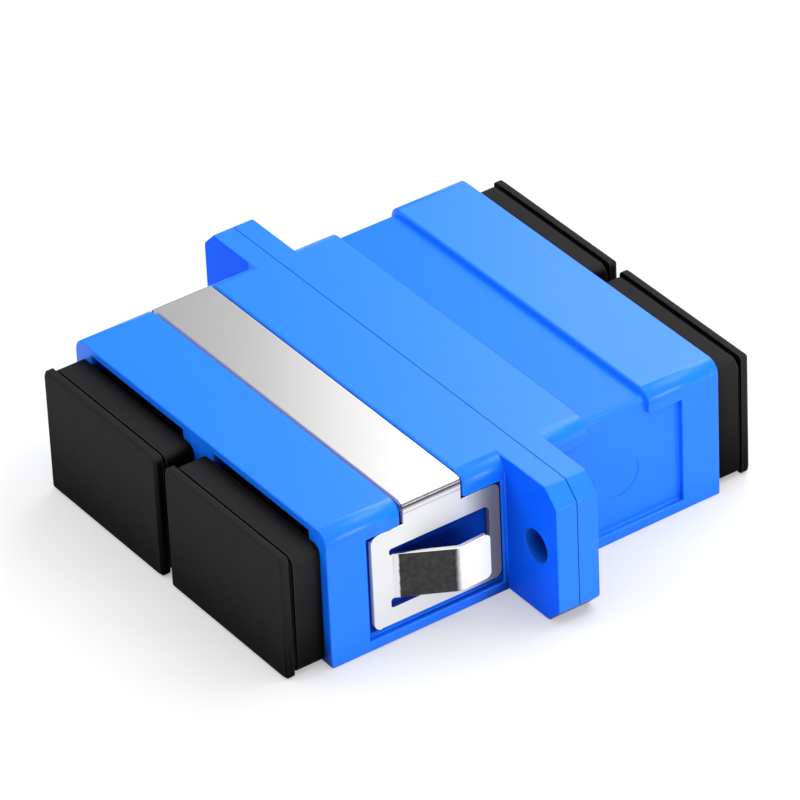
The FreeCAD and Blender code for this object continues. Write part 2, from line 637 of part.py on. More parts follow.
def add_clip_tongues(body):
    """Sprung tongue in each window: a ramp outwards, then a stretch that turns back a little."""
    slope = "Sizes.tongue_angle"
    end_slope = "Sizes.tongue_end_angle"
    inner_x = POCKET_FLOOR
    lead_y = f"({TONGUE_ROOT} + Sizes.tongue_lead)"
    bend_x = f"({inner_x} + Sizes.tongue_ramp * sin({slope}))"
    bend_y = f"({lead_y} + Sizes.tongue_ramp * cos({slope}))"
    tip_x = f"({bend_x} - Sizes.tongue_end * sin({end_slope}))"
    tip_y = f"({bend_y} + Sizes.tongue_end * cos({end_slope}))"
    mitre = f"(Sizes.sheet / cos(({slope} + {end_slope}) / 2))"
    mean = f"(({slope} - {end_slope}) / 2)"
    crest_x = f"({bend_x} + {mitre} * cos{mean})"
    outline = new_sketch(
        body, "TongueSketch", "XY_Plane", f"({TONGUE_TOP} + {TONGUE_FOOT}) / 2")
    draw_polygon(outline, (
        (inner_x, TONGUE_ROOT),
        (inner_x, lead_y),
        (bend_x, bend_y),
        (tip_x, tip_y),
        (f"{tip_x} + Sizes.sheet * cos({end_slope})", f"{tip_y} + Sizes.sheet * sin({end_slope})"),
        (crest_x, f"{bend_y} - {mitre} * sin{mean}"),
        (LEG_FACE, f"{lead_y} - Sizes.sheet * tan({slope} / 2)"),
        (LEG_FACE, TONGUE_ROOT),
    ))
    width = f"{TONGUE_TOP} - {TONGUE_FOOT}"
    mirror(body, "Tongues", pad(body, "Tongue", outline, width, symmetric=True))
    crest = number(body, crest_x)
    hollow = number(body, bend_x)
    tip_inside = number(body, tip_x)
    tip_start = number(body, f"{tip_y} - Sizes.sheet / 2")
    dress_edges(
        body, "Fillet", "BendOutside", "Sizes.bend_outside",
        lambda edge, middle: runs_along(edge, ALONG_Z) and near(abs(middle.x), crest),
    )
    dress_edges(
        body, "Fillet", "BendInside", "Sizes.bend_inside",
        lambda edge, middle: runs_along(edge, ALONG_Z) and near(abs(middle.x), hollow),
    )
    dress_edges(
        body, "Fillet", "TipCorners", "Sizes.window_radius",
        lambda edge, middle: middle.y > tip_start and abs(middle.x) > tip_inside
        and isinstance(edge.Curve, Part.Line) and near(edge.Curve.Direction.z, 0),
    )


def make_panel_clip(document, label):
    """Spring clip folded from one strip of sheet."""
    body = new_body(document, label)
    fold_clip_strip(body)
    round_leg_corners(body)
    cut_clip_windows(body)
    add_clip_tongues(body)


def add_cap_layer(body, name, start, length, half_width, half_height, radius):
    """One slab of a cap with rounded corners, from its start outwards."""
    sketch = new_sketch(body, f"{name}Sketch", "XZ_Plane", start)
    draw_rounded_rectangle(sketch, half_width, half_height, radius)
    pad(body, name, sketch, length)


def make_dust_cap(document, label, turn, side):
    """Cap with an end plate, a neck, a grip block and a hollow skirt inside the port."""
    body = new_body(document, label, turn, side, AXIS_Z)
    seat = "(Sizes.half_length + Sizes.cap_seat_gap)"
    neck = f"({seat} + Sizes.cap_block)"
    plate = f"({neck} + Sizes.cap_neck)"
    front = f"({plate} + Sizes.cap_plate)"
    inset = "Sizes.cap_neck_depth"
    neck_radius = f"(Sizes.cap_block_radius - {inset})"
    add_cap_layer(
        body, "Block", seat, "Sizes.cap_block", CAP_SIDE, CAP_BLOCK_TOP,
        "Sizes.cap_block_radius")
    add_cap_layer(
        body, "Neck", neck, "Sizes.cap_neck", f"({CAP_SIDE} - {inset})",
        f"({CAP_BLOCK_TOP} - {inset})", neck_radius)
    add_cap_layer(
        body, "Plate", plate, "Sizes.cap_plate", CAP_SIDE, CAP_TOP, "Sizes.cap_plate_radius")
    face_y = -number(body, front)
    dress_edges(
        body, "Chamfer", "PlateBevel", "Sizes.cap_plate_bevel",
        lambda edge, middle: near(middle.y, face_y),
    )
    skirt_start = f"({seat} - Sizes.skirt_length)"
    half_width = f"({PORT_SIDE} - Sizes.skirt_gap)"
    half_height = f"({PORT_TOP} - Sizes.skirt_gap)"
    add_cap_layer(
        body, "Skirt", skirt_start, "Sizes.skirt_length", half_width, half_height,
        "Sizes.skirt_radius")
    hollow = new_sketch(body, "HollowSketch", "XZ_Plane", skirt_start)
    inner_width = f"({half_width} - Sizes.skirt_wall)"
    inner_height = f"({half_height} - Sizes.skirt_wall)"
    draw_rectangle(hollow, f"-{inner_width}", inner_width, f"-{inner_height}", inner_height)
    cut(body, "Hollow", hollow, "Sizes.skirt_length + Sizes.cap_core", backward=True)


def write_parts(document):
    """Check every object and each sub-part's shape, then write one STEP file for each."""
    for item in document.Objects:
        faults = {"Invalid", "Error"} & set(item.State)
        if faults:
            raise ValueError(f"{item.Label} is {', '.join(sorted(faults))}")
    bodies = document.findObjects("PartDesign::Body")
    for body in bodies:
        shape = body.Shape
        if shape.isNull() or not shape.isValid() or len(shape.Solids) != 1:
            raise ValueError(f"{body.Label} is not one valid solid")
    os.makedirs("parts", exist_ok=True)
    for body in bodies:
        body.Shape.exportStep(f"parts/{body.Label}.step")
        print(f"{body.Label}: {body.Shape.Volume:.2f} mm3")


def main():
    """Build the adapter and write its sub-parts."""
    document = FreeCAD.newDocument("fibre_adapter")
    make_sheet(document)
    sides = (("left", -1), ("right", 1))
    for end, turn in (("front", 0), ("rear", HALF_TURN)):
        make_housing_half(document, f"{end}_housing", turn)
        for name, side in sides:
            make_latch_insert(document, f"{end}_{name}_latch", turn, side)
            make_dust_cap(document, f"{end}_{name}_cap", turn, side)
    for name, side in sides:
        make_sleeve(document, f"{name}_sleeve", side)
    make_panel_clip(document, "panel_clip")
    document.recompute()
    write_parts(document)


main()
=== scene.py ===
import json
import logging
import math
from dataclasses import dataclass
from enum import Enum

import bmesh
import bpy
from mathutils import Matrix, Vector


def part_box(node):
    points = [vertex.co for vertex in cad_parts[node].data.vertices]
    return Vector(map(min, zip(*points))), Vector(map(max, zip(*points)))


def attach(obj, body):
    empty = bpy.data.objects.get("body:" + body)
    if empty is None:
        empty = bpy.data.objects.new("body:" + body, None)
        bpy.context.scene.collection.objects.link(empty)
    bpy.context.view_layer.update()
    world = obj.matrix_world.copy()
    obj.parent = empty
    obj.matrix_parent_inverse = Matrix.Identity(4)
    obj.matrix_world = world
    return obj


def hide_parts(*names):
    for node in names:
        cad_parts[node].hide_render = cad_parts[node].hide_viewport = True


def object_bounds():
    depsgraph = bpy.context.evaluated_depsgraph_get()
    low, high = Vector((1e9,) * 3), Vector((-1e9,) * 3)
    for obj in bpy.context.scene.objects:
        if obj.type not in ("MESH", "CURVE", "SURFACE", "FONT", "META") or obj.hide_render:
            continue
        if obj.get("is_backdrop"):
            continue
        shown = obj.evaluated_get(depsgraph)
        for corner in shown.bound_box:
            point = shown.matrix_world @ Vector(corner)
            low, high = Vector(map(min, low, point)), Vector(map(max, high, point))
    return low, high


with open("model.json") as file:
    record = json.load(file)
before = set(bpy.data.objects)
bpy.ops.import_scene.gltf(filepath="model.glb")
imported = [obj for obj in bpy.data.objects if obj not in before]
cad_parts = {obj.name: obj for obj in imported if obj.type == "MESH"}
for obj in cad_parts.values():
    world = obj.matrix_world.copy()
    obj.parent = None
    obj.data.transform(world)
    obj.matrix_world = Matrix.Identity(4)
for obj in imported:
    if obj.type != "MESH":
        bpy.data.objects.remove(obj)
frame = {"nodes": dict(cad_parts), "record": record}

LOG = logging.getLogger("fibre_adapter")
MM = 0.001
PATTERN_LOW = 0.3
PATTERN_HIGH = 0.7
PLASTIC_IOR = 1.5
WHITE = (1, 1, 1, 1)

Colour = tuple[float, float, float]
Socket = bpy.types.NodeSocket
Value = float | Socket


class Side(Enum):
    """Where a channel of the duplex housing lies across X."""

    LEFT = "left"
    RIGHT = "right"


class End(Enum):
    """Which end of the housing a piece belongs to, along Y."""

    FRONT = "front"
    REAR = "rear"


class Slot(Enum):
    """Names of the part's material slots."""

    BLUE_PLASTIC = "blue_plastic"
    SPRING_STEEL = "spring_steel"
    LATCH_PLASTIC = "latch_plastic"
    ZIRCONIA = "zirconia"
    BLACK_PLASTIC = "black_plastic"


@dataclass(frozen=True)
class Zone:
    """A box about a middle point, together with its mirror images across the main planes."""

    middle: Vector
    half: Vector


class Graph:
    """Node tree, with short calls that add its nodes and join them."""

    def __init__(self, owner: bpy.types.Material | bpy.types.World) -> None:
        """Start an empty tree.

        Args:
            owner: Material or world that the tree belongs to.
        """
        owner.use_nodes = True
        self.tree = owner.node_tree
        self.tree.nodes.clear()

    def add(self, kind: str, values: dict | None = None, **settings: object) -> bpy.types.Node:
        """Add a node.

        Args:
            kind: Blender's name of the node type.
            values: Constant or socket for each input, by its name or number.
            settings: The node's own properties.

        Returns:
            The new node.
        """
        node = self.tree.nodes.new(kind)
        for name, value in settings.items():
            setattr(node, name, value)
        for name, value in (values or {}).items():
            if isinstance(value, Socket):
                self.tree.links.new(value, node.inputs[name])
            else:
                node.inputs[name].default_value = value
        return node

    def math(self, operation: str, *values: Value) -> Socket:
        """Work out one number from others.

        Args:
            operation: Blender's name of the operation.
            values: Its operands.

        Returns:
            The socket of the result.
        """
        return self.add("ShaderNodeMath", dict(enumerate(values)), operation=operation).outputs[0]

    def size(self, value: Value) -> Socket:
        """Drop the sign of a number."""
        return self.math("ABSOLUTE", value)

    def scaled(self, value: Value, factor: Value) -> Socket:
        """Multiply a number by a factor."""
        return self.math("MULTIPLY", value, factor)

    def larger(self, first: Value, second: Value) -> Socket:
        """Keep the larger of two numbers."""
        return self.math("MAXIMUM", first, second)

    def split(self, vector: Socket) -> tuple[Socket, Socket, Socket]:
        """Take a vector apart into its X, Y and Z."""
        return tuple(self.add("ShaderNodeSeparateXYZ", {0: vector}).outputs)

    def between(self, value: Value, low: float, high: float, out_low: Value, out_high: Value) -> Socket:
        """Carry a number smoothly from one range to another.

        Args:
            value: The number.
            low: Start of its range.
            high: End of its range.
            out_low: Result at the start.
            out_high: Result at the end.

        Returns:
            The socket of the result.
        """
        return self.add(
            "ShaderNodeMapRange",
            {0: value, 1: low, 2: high, 3: out_low, 4: out_high},
            interpolation_type="SMOOTHSTEP",
        ).outputs[0]

    def grow(self, value: Value, low: float, high: float) -> Socket:
        """Turn a number into a share that is 0 below the range and 1 above it."""
        return self.between(value, low, high, 0.0, 1.0)

    def fade(self, value: Value, low: float, high: float) -> Socket:
        """Turn a number into a share that is 1 below the range and 0 above it."""
        return self.between(value, low, high, 1.0, 0.0)

    def choose(self, share: Value, first: Value, second: Value) -> Socket:
        """Pass smoothly from one number to another as a share goes from 0 to 1."""
        return self.between(share, 0.0, 1.0, first, second)

    def close(self, surface: Socket, output: str) -> None:
        """Lead a surface to the tree's end.

        Args:
            surface: The socket of the surface.
            output: Blender's name of the end's node type.
        """
        self.tree.links.new(surface, self.add(output).inputs[0])


class Shader(Graph):
    """Node tree of one material, with its patterns and its surface."""

    bevel_samples: int = 4
    crevice_samples: int = 8
    # Painted edge highlight: full where the rounded and true normals match less than the first value,
    # none above the second.
    edge_highlight_match: float = 0.86
    flat_match: float = 0.995

    def __init__(self, name: str) -> None:
        """Start an empty material.

        Args:
            name: The material's name.
        """
        self.material = bpy.data.materials.new(name)
        super().__init__(self.material)
        self.place = self.add("ShaderNodeTexCoord").outputs["Object"]

    def noise(self, grain: float, detail: float = 2.0, stretch: Vector = Vector((1, 1, 1))) -> Socket:
        """Make a random pattern fixed to the object.

        Args:
            grain: Size of its features, in metres.
            detail: How many finer layers it has.
            stretch: How much finer it is along each axis.

        Returns:
            The socket of the pattern, from 0 to 1.
        """
        place = self.add("ShaderNodeVectorMath", {0: self.place, 1: stretch}, operation="MULTIPLY")
        return self.add(
            "ShaderNodeTexNoise",
            {"Vector": place.outputs[0], "Scale": 1 / grain, "Detail": detail},
        ).outputs["Fac"]

    def scatter(self, pattern: Socket, middle: float, spread: float) -> Socket:
        """Turn a random pattern into a number that wanders about a middle value.

        Args:
            pattern: The socket of the pattern.
            middle: Middle value.
            spread: How far the number goes to either side.

        Returns:
            The socket of the number.
        """
        return self.between(pattern, PATTERN_LOW, PATTERN_HIGH, middle - spread, middle + spread)

    def blend(self, share: Value, first: Colour | Socket, second: Colour | Socket) -> Socket:
        """Mix two colours.

        Args:
            share: The second colour's share.
            first: Colour at a share of 0.
            second: Colour at a share of 1.

        Returns:
            The socket of the mixed colour.
        """
        mix = self.add("ShaderNodeMix", {0: share}, data_type="RGBA")
        for index, colour in ((6, first), (7, second)):
            if isinstance(colour, Socket):
                self.tree.links.new(colour, mix.inputs[index])
            else:
                mix.inputs[index].default_value = (*colour, 1)
        return mix.outputs[2]

    def relief(
        self, height: Socket, depth: float, strength: float, below: Socket | None = None
    ) -> Socket:
        """Turn a height pattern into a fine relief.

        Args:
            height: The socket of the pattern.
            depth: Depth that a height of 1 stands for, in metres.
            strength: How much of it shows.
            below: The socket of a coarser relief to add to.

        Returns:
            The socket of the relief's normal.
        """
        bump = self.add("ShaderNodeBump", {"Strength": strength, "Distance": depth, "Height": height})
        if below is not None:
            self.tree.links.new(below, bump.inputs["Normal"])
        return bump.outputs[0]

    def crevice(self, reach: float) -> Socket:
        """Find the places that other surfaces crowd.

        Args:
            reach: How far away a surface still counts.

        Returns:
            The socket of a share, 0 in the open and 1 where other surfaces close in all round.
        """
        openness = self.add(
            "ShaderNodeAmbientOcclusion", {"Distance": reach}, samples=self.crevice_samples
        ).outputs["AO"]
        return self.math("SUBTRACT", 1.0, openness)

    def edge_highlight_mask(self, radius: float) -> Socket:
        """Find the edges that take a painted highlight.

        Args:
            radius: How far from an edge the painted highlight reaches.

        Returns:
            The socket of a share, 1 on an edge and 0 away from it.
        """
        bent = self.add("ShaderNodeBevel", {"Radius": radius}, samples=self.bevel_samples).outputs[0]
        straight = self.add("ShaderNodeNewGeometry").outputs["Normal"]
        match = self.add("ShaderNodeVectorMath", {0: bent, 1: straight}, operation="DOT_PRODUCT")
        return self.fade(match.outputs["Value"], self.edge_highlight_match, self.flat_match)

    def band(self, value: Socket, middle: float, half: float) -> Socket:
        """Mark a soft-edged band of a number.

        Args:
            value: The socket of the number.
            middle: Middle of the band.
            half: Distance from the middle at which the band has faded out.

        Returns:
            The socket of a share, 1 in the middle of the band and 0 outside it.
        """
        return self.fade(self.size(self.math("SUBTRACT", value, middle)), 0.0, half)

    def zone(self, zone: Zone) -> Socket:
        """Mark a zone of the piece.

        Args:
            zone: The zone.

        Returns:
            The socket of a share, 1 inside and 0 outside.
        """
        share = 1.0
        for axis, place in enumerate(self.split(self.place)):
            offset = self.size(self.math("SUBTRACT", self.size(place), zone.middle[axis]))
            share = self.scaled(share, self.math("LESS_THAN", offset, zone.half[axis]))
        return share

    def finish(self, **values: object) -> bpy.types.Material:
        """Close the material with its surface.

        Args:
            values: Inputs of the principled surface, with _ for the space in their names.

        Returns:
            The finished material.
        """
        inputs = {name.replace("_", " "): value for name, value in values.items()}
        surface = self.add("ShaderNodeBsdfPrincipled", inputs)
        self.close(surface.outputs[0], "ShaderNodeOutputMaterial")
        return self.material


@dataclass(frozen=True)
class Flange:
    """Sizes of the screw flange.

    Attributes:
        thickness: Thickness of one half's share of it.
        hole_reach: Middle of the part to the middle of a screw hole.
        hole_radius: Radius of a screw hole.
    """

    thickness: float
    hole_reach: float
    hole_radius: float

    @classmethod
    def of_part(cls) -> "Flange":
        """Read the sizes from the record's row for the screw holes.

        Returns:
            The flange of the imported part.
        """
        row = next(row for row in frame["record"]["mounts"] if row["name"] == "flange_holes")
        sizes = row["dims"]
        return cls(-row["pos_m"][1], sizes["spacing_x_mm"] / 2 * MM, sizes["hole_r_mm"] * MM)


@dataclass(frozen=True)
class MouldedPlastic:
    """Satin moulded plastic: flow mottle, fine grain, mould lines, painted edge highlights and painted
    shade in crevices and recesses.

    Attributes:
        pocket: Floors of the side pockets, which the clip's legs cover at the front, where shade is
            painted.
        channel: Floors of the strap channels, with less shine and a share of painted shade.
        side: Side of the housing, where the flange's ears begin.
        skin: How far a zone reaches past the face that it marks.
    """

    name: str = "blue_moulding"
    colour: Colour = (0.005, 0.165, 0.97)
    flow_colour: Colour = (0.006, 0.173, 0.98)
    flow_size: float = 7 * MM
    gloss_size: float = 7 / 9 * MM
    roughness: float = 0.3
    roughness_spread: float = 0.02
    shine: float = 0.24
    grain: float = 0.08 * MM
    grain_depth: float = 0.0012 * MM
    relief_strength: float = 0.3
    # Painted highlight: a lighter blue along the edges.
    edge_highlight_colour: Colour = (0.02, 0.24, 0.97)
    edge_highlight_radius: float = 0.14 * MM
    edge_highlight_share: float = 0.7
    # Painted shade: a dark blue with less shine for crevices and the covered pocket floors; the channel
    # floors, the screw holes and the mould lines take shares of it.
    painted_shade_colour: Colour = (0.0005, 0.012, 0.16)
    painted_shade_shine: float = 0.03
    crevice_reach: float = 3.6 * MM
    crevice_start: float = 0.42
    crevice_full: float = 0.8
    cover_shade: float = 0.35
    cover_full: float = 0.5
    seam_width: float = 0.055 * MM
    witness_width: float = 0.04 * MM
    witness_depth: float = 0.015 * MM
    witness_shade: float = 0.3
    pocket: Zone = Zone(Vector((12.5, 6.35, 0)) * MM, Vector((0.06, 4.6, 3.7)) * MM)
    channel: Zone = Zone(Vector((0, 6.62, 4.2)) * MM, Vector((12.85, 2.17, 0.06)) * MM)
    # Channel floors: less shine and a share of painted shade.
    channel_shine: float = 0.45
    channel_shade: float = 0.12
    # Screw holes' walls: a share of painted shade.
    hole_shade: float = 0.36
    # Flange faces beside the housing: painted shade as a deeper blue, with less shine.
    ear_shade_colour: Colour = (0.003, 0.115, 0.98)
    ear_shine: float = 0.08
    side: float = 12.9 * MM
    skin: float = 0.05 * MM

    def material(self) -> bpy.types.Material:
        """Make the material.

        Returns:
            The finished material.
        """
        shader = Shader(self.name)
        flange = Flange.of_part()
        along = shader.split(shader.place)[1]
        witness = shader.band(shader.size(along), flange.thickness, self.witness_width)
        seam = shader.band(along, 0.0, self.seam_width)
        channel = shader.zone(self.channel)
        ear = shader.zone(self.ear_zone(flange))
        painted_shade = self.painted_shade_zone(shader)
        shade = shader.larger(shader.scaled(witness, self.witness_shade), seam)
        shade = shader.larger(shade, shader.scaled(channel, self.channel_shade))
        shade = shader.larger(shade, shader.scaled(shader.zone(self.hole_zone(flange)), self.hole_shade))
        colour = shader.blend(shader.noise(self.flow_size, detail=3), self.colour, self.flow_colour)
        # Painted highlight: edges turned a lighter blue.
        edge_highlight = shader.scaled(shader.edge_highlight_mask(self.edge_highlight_radius), self.edge_highlight_share)
        colour = shader.blend(edge_highlight, colour, self.edge_highlight_colour)
        # Painted shade darkens crevices, covered pocket floors, channel floors and screw holes; the
        # mould lines are drawn in the same dark blue.
        colour = shader.blend(shader.larger(shade, painted_shade), colour, self.painted_shade_colour)
        shine = shader.choose(channel, self.shine, self.shine * self.channel_shine)
        shine = shader.choose(ear, shine, self.shine * self.ear_shine)
        grain = shader.relief(shader.noise(self.grain), self.grain_depth, self.relief_strength)
        return shader.finish(
            # Painted shade: a deeper blue on the flange's faces beside the housing.
            Base_Color=shader.blend(ear, colour, self.ear_shade_colour),
            Roughness=shader.scatter(
                shader.noise(self.gloss_size, detail=4), self.roughness, self.roughness_spread
            ),
            Normal=shader.relief(witness, -self.witness_depth, self.relief_strength, grain),
            IOR=PLASTIC_IOR,
            # Less shine where shade is painted.
            Specular_IOR_Level=shader.choose(painted_shade, shine, self.painted_shade_shine),
        )

    def ear_zone(self, flange: Flange) -> Zone:
        """Work out the zone of the flange's faces beside the housing, which get painted shade.

        Args:
            flange: Sizes of the flange.

        Returns:
            The zone of the faces.
        """
        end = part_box("front_housing")[1]
        middle = Vector(((self.side + end.x) / 2, flange.thickness, 0))
        half = Vector(((end.x - self.side) / 2 - self.skin, self.skin, end.z - self.skin))
        return Zone(middle, half)

    def hole_zone(self, flange: Flange) -> Zone:
        """Work out the zone of the screw holes' walls, which get painted shade.

        Args:
            flange: Sizes of the flange.

        Returns:
            The zone of the walls.
        """
        reach = flange.hole_radius + self.skin
        middle = Vector((flange.hole_reach, flange.thickness / 2, 0))
        return Zone(middle, Vector((reach, flange.thickness / 2 - self.skin, reach)))

    def painted_shade_zone(self, shader: Shader) -> Socket:
        """Mark where shade is painted: the crevices, and the pocket floors that the clip's legs cover.

        Args:
            shader: The material's nodes.

        Returns:
            The socket of a share of painted shade, 1 where it is darkest and 0 in the open.
        """
        crowding = shader.crevice(self.crevice_reach)
        front = shader.math("LESS_THAN", shader.split(shader.place)[1], 0.0)
        floors = shader.scaled(front, shader.zone(self.pocket))
        cover = shader.between(crowding, 0.0, self.cover_full, self.cover_shade, 1.0)
        crevices = shader.grow(crowding, self.crevice_start, self.crevice_full)
        return shader.larger(crevices, shader.scaled(floors, cover))


@dataclass(frozen=True)
class PlatedSteel:
    """Plated spring steel: streaked strap, satin legs, painted dark reflections on the folds and ramps,
    painted shade on the legs and painted highlights on the tongues' ends.

    Attributes:
        leg_start: Start of the stretch along Y over which a leg darkens.
        leg_end: End of that stretch.
        tip_reach: Distance from the middle at which a tongue is bright again.
        tongue_reach: Distance from the middle beyond which a face is a tongue's.
        ramp_start: Start of a tongue's ramp along Y.
        ramp_end: End of that ramp.
        fold_reach: Distance from the middle beyond which a face is a fold's.
    """

    name: str = "plated_steel"
    colour: Colour = (0.8, 0.8, 0.8)
    streak_colour: Colour = (0.76, 0.76, 0.76)
    streak: float = 0.9 * MM
    streak_stretch: Vector = Vector((1, 30, 1))
    streak_start: float = 0.45
    streak_full: float = 0.7
    streak_depth: float = 0.001 * MM
    relief_strength: float = 0.3
    roughness: float = 0.2
    roughness_spread: float = 0.04
    shine: float = 0.2
    satin_colour: Colour = (0.68, 0.68, 0.68)
    # Painted shade: the legs darken towards the flange.
    leg_shade_colour: Colour = (0.2, 0.2, 0.2)
    satin_roughness: float = 0.42
    satin_metal: float = 0.25
    satin_rise: float = 0.1
    strap_rise: float = 0.5
    leg_start: float = -4.8 * MM
    leg_end: float = -2.3 * MM
    # Painted highlight: the tongues' outer ends are lighter.
    tip_highlight_colour: Colour = (0.85, 0.85, 0.85)
    tip_reach: float = 13.5 * MM
    tip_fade: float = 0.3 * MM
    # Painted reflection: mottled near-black on the outer faces of the tongues' ramps.
    ramp_reflection_colour: Colour = (0.022, 0.022, 0.022)
    mottle_colour: Colour = (0.038, 0.038, 0.038)
    mottle: float = 0.34 * MM
    tongue_reach: float = 12.86 * MM
    tongue_fade: float = 0.06 * MM
    ramp_start: float = -9.12 * MM
    ramp_start_fade: float = 0.08 * MM
    ramp_end: float = -6.3 * MM
    ramp_end_fade: float = 0.44 * MM
    ramp_grain: float = 0.3 * MM
    ramp_ragged: float = 0.12 * MM
    ramp_rise: float = 0.3
    edge_rise: float = 0.6
    # Painted reflection: a dark band on each fold and a fainter one on the crease below.
    fold_reflection_colour: Colour = (0.04, 0.04, 0.04)
    fold_reach: float = 12.55 * MM
    fold_middle: float = 4.2 * MM
    fold_half: float = 0.3 * MM
    crease_middle: float = 3.76 * MM
    crease_half: float = 0.1 * MM
    crease_share: float = 0.35

    def material(self) -> bpy.types.Material:
        """Make the material.

        Returns:
            The finished material.
        """
        shader = Shader(self.name)
        place = shader.split(shader.place)
        rise = shader.size(shader.split(shader.add("ShaderNodeNewGeometry").outputs["Normal"])[2])
        streaks = shader.noise(self.streak, detail=4, stretch=self.streak_stretch)
        satin = shader.fade(rise, self.satin_rise, self.strap_rise)
        uneven = shader.scatter(streaks, 0.0, self.roughness_spread)
        # Legs with painted shade towards the flange and a painted highlight on the tongues' ends.
        bright = shader.blend(satin, self.strap_colour(shader, streaks), self.leg_colour(shader, place))
        # Painted dark reflection on the folds and creases.
        bright = shader.blend(self.fold_zone(shader, place), bright, self.fold_reflection_colour)
        mottle = shader.grow(shader.noise(self.mottle, detail=5), PATTERN_LOW, PATTERN_HIGH)
        ramp_reflection = shader.blend(mottle, self.ramp_reflection_colour, self.mottle_colour)
        return shader.finish(
            # Painted dark reflection on the ramps.
            Base_Color=shader.blend(self.ramp_zone(shader, place, rise), bright, ramp_reflection),
            Metallic=shader.choose(satin, 1.0, self.satin_metal),
            Roughness=shader.math(
                "ADD", uneven, shader.choose(satin, self.roughness, self.satin_roughness)
            ),
            Normal=shader.relief(streaks, self.streak_depth, self.relief_strength),
            Specular_IOR_Level=self.shine,
        )

    def strap_colour(self, shader: Shader, streaks: Socket) -> Socket:
        """Colour the strap, with its rolling streaks.

        Args:
            shader: The material's nodes.
            streaks: The socket of the streak pattern.

        Returns:
            The socket of the colour.
        """
        share = shader.grow(streaks, self.streak_start, self.streak_full)
        return shader.blend(share, self.colour, self.streak_colour)

    def leg_colour(self, shader: Shader, place: tuple[Socket, Socket, Socket]) -> Socket:
        """Colour the legs, with painted shade towards the flange and a painted highlight on the ends of
        the tongues.

        Args:
            shader: The material's nodes.
            place: The sockets of the three coordinates.

        Returns:
            The socket of the colour.
        """
        leg = shader.blend(
            shader.grow(place[1], self.leg_start, self.leg_end), self.satin_colour, self.leg_shade_colour
        )
        tip = shader.grow(shader.size(place[0]), self.tip_reach, self.tip_reach + self.tip_fade)
        return shader.blend(tip, leg, self.tip_highlight_colour)

    def fold_zone(self, shader: Shader, place: tuple[Socket, Socket, Socket]) -> Socket:
        """Mark the two folds between the strap and the legs, and the crease below each, for a painted
        dark reflection.

        Args:
            shader: The material's nodes.
            place: The sockets of the three coordinates.

        Returns:
            The socket of a share, 1 on the folds and 0 elsewhere.
        """
        fold = shader.band(place[2], self.fold_middle, self.fold_half)
        crease = shader.band(place[2], self.crease_middle, self.crease_half)
        lines = shader.larger(fold, shader.scaled(crease, self.crease_share))
        return shader.scaled(lines, shader.math("GREATER_THAN", shader.size(place[0]), self.fold_reach))

    def ramp_zone(
        self, shader: Shader, place: tuple[Socket, Socket, Socket], rise: Socket
    ) -> Socket:
        """Mark the outer faces of the two ramps, for a painted dark reflection.

        Args:
            shader: The material's nodes.
            place: The sockets of the three coordinates.
            rise: The socket that tells how far a face looks up or down.

        Returns:
            The socket of a share, 1 on the ramps and 0 elsewhere.
        """
        ragged = shader.math("SUBTRACT", shader.noise(self.ramp_grain, detail=4), 0.5)
        along = shader.math("ADD", place[1], shader.scaled(ragged, self.ramp_ragged))
        proud = shader.grow(
            shader.size(place[0]), self.tongue_reach, self.tongue_reach + self.tongue_fade
        )
        start = shader.grow(along, self.ramp_start, self.ramp_start + self.ramp_start_fade)
        end = shader.fade(along, self.ramp_end, self.ramp_end + self.ramp_end_fade)
        outer = shader.fade(rise, self.ramp_rise, self.edge_rise)
        return shader.scaled(shader.scaled(proud, start), shader.scaled(end, outer))


@dataclass(frozen=True)
class CapPlastic:
    """Soft near-black plastic of the dust caps, with a spark-eroded grain, painted highlights along the
    edges and painted shade towards the floor and in crevices.
    """

    name: str = "black_cap"
    colour: Colour = (0.017, 0.017, 0.0175)
    flow_colour: Colour = (0.0185, 0.0185, 0.019)
    flow_size: float = 5 * MM
    gloss_size: float = 0.8 * MM
    roughness: float = 0.48
    roughness_spread: float = 0.03
    shine: float = 0.015
    grain: float = 0.1 * MM
    grain_depth: float = 0.002 * MM
    relief_strength: float = 0.4
    # Painted shade: near-black where the floor and other surfaces crowd, so the caps darken towards the
    # floor and in crevices.
    painted_shade_colour: Colour = (0.002, 0.002, 0.0021)
    crevice_reach: float = 10 * MM
    crevice_start: float = 0.14
    crevice_full: float = 0.5
    # Painted highlight: a lighter grey along the edges.
    edge_highlight_colour: Colour = (0.05, 0.05, 0.051)
    edge_highlight_radius: float = 0.12 * MM
    edge_highlight_share: float = 0.6

    def material(self) -> bpy.types.Material:
        """Make the material.

        Returns:
            The finished material.
        """
        shader = Shader(self.name)
        colour = shader.blend(shader.noise(self.flow_size, detail=3), self.colour, self.flow_colour)
        # Painted shade towards the floor and in crevices.
        painted_shade = shader.grow(shader.crevice(self.crevice_reach), self.crevice_start, self.crevice_full)
        colour = shader.blend(painted_shade, colour, self.painted_shade_colour)
        # Painted highlight along the edges.
        edge_highlight = shader.scaled(shader.edge_highlight_mask(self.edge_highlight_radius), self.edge_highlight_share)
        return shader.finish(
            Base_Color=shader.blend(edge_highlight, colour, self.edge_highlight_colour),
            Roughness=shader.scatter(
                shader.noise(self.gloss_size, detail=3), self.roughness, self.roughness_spread
            ),
            Normal=shader.relief(
                shader.noise(self.grain, detail=3), self.grain_depth, self.relief_strength
            ),
            IOR=PLASTIC_IOR,
            Specular_IOR_Level=self.shine,
        )


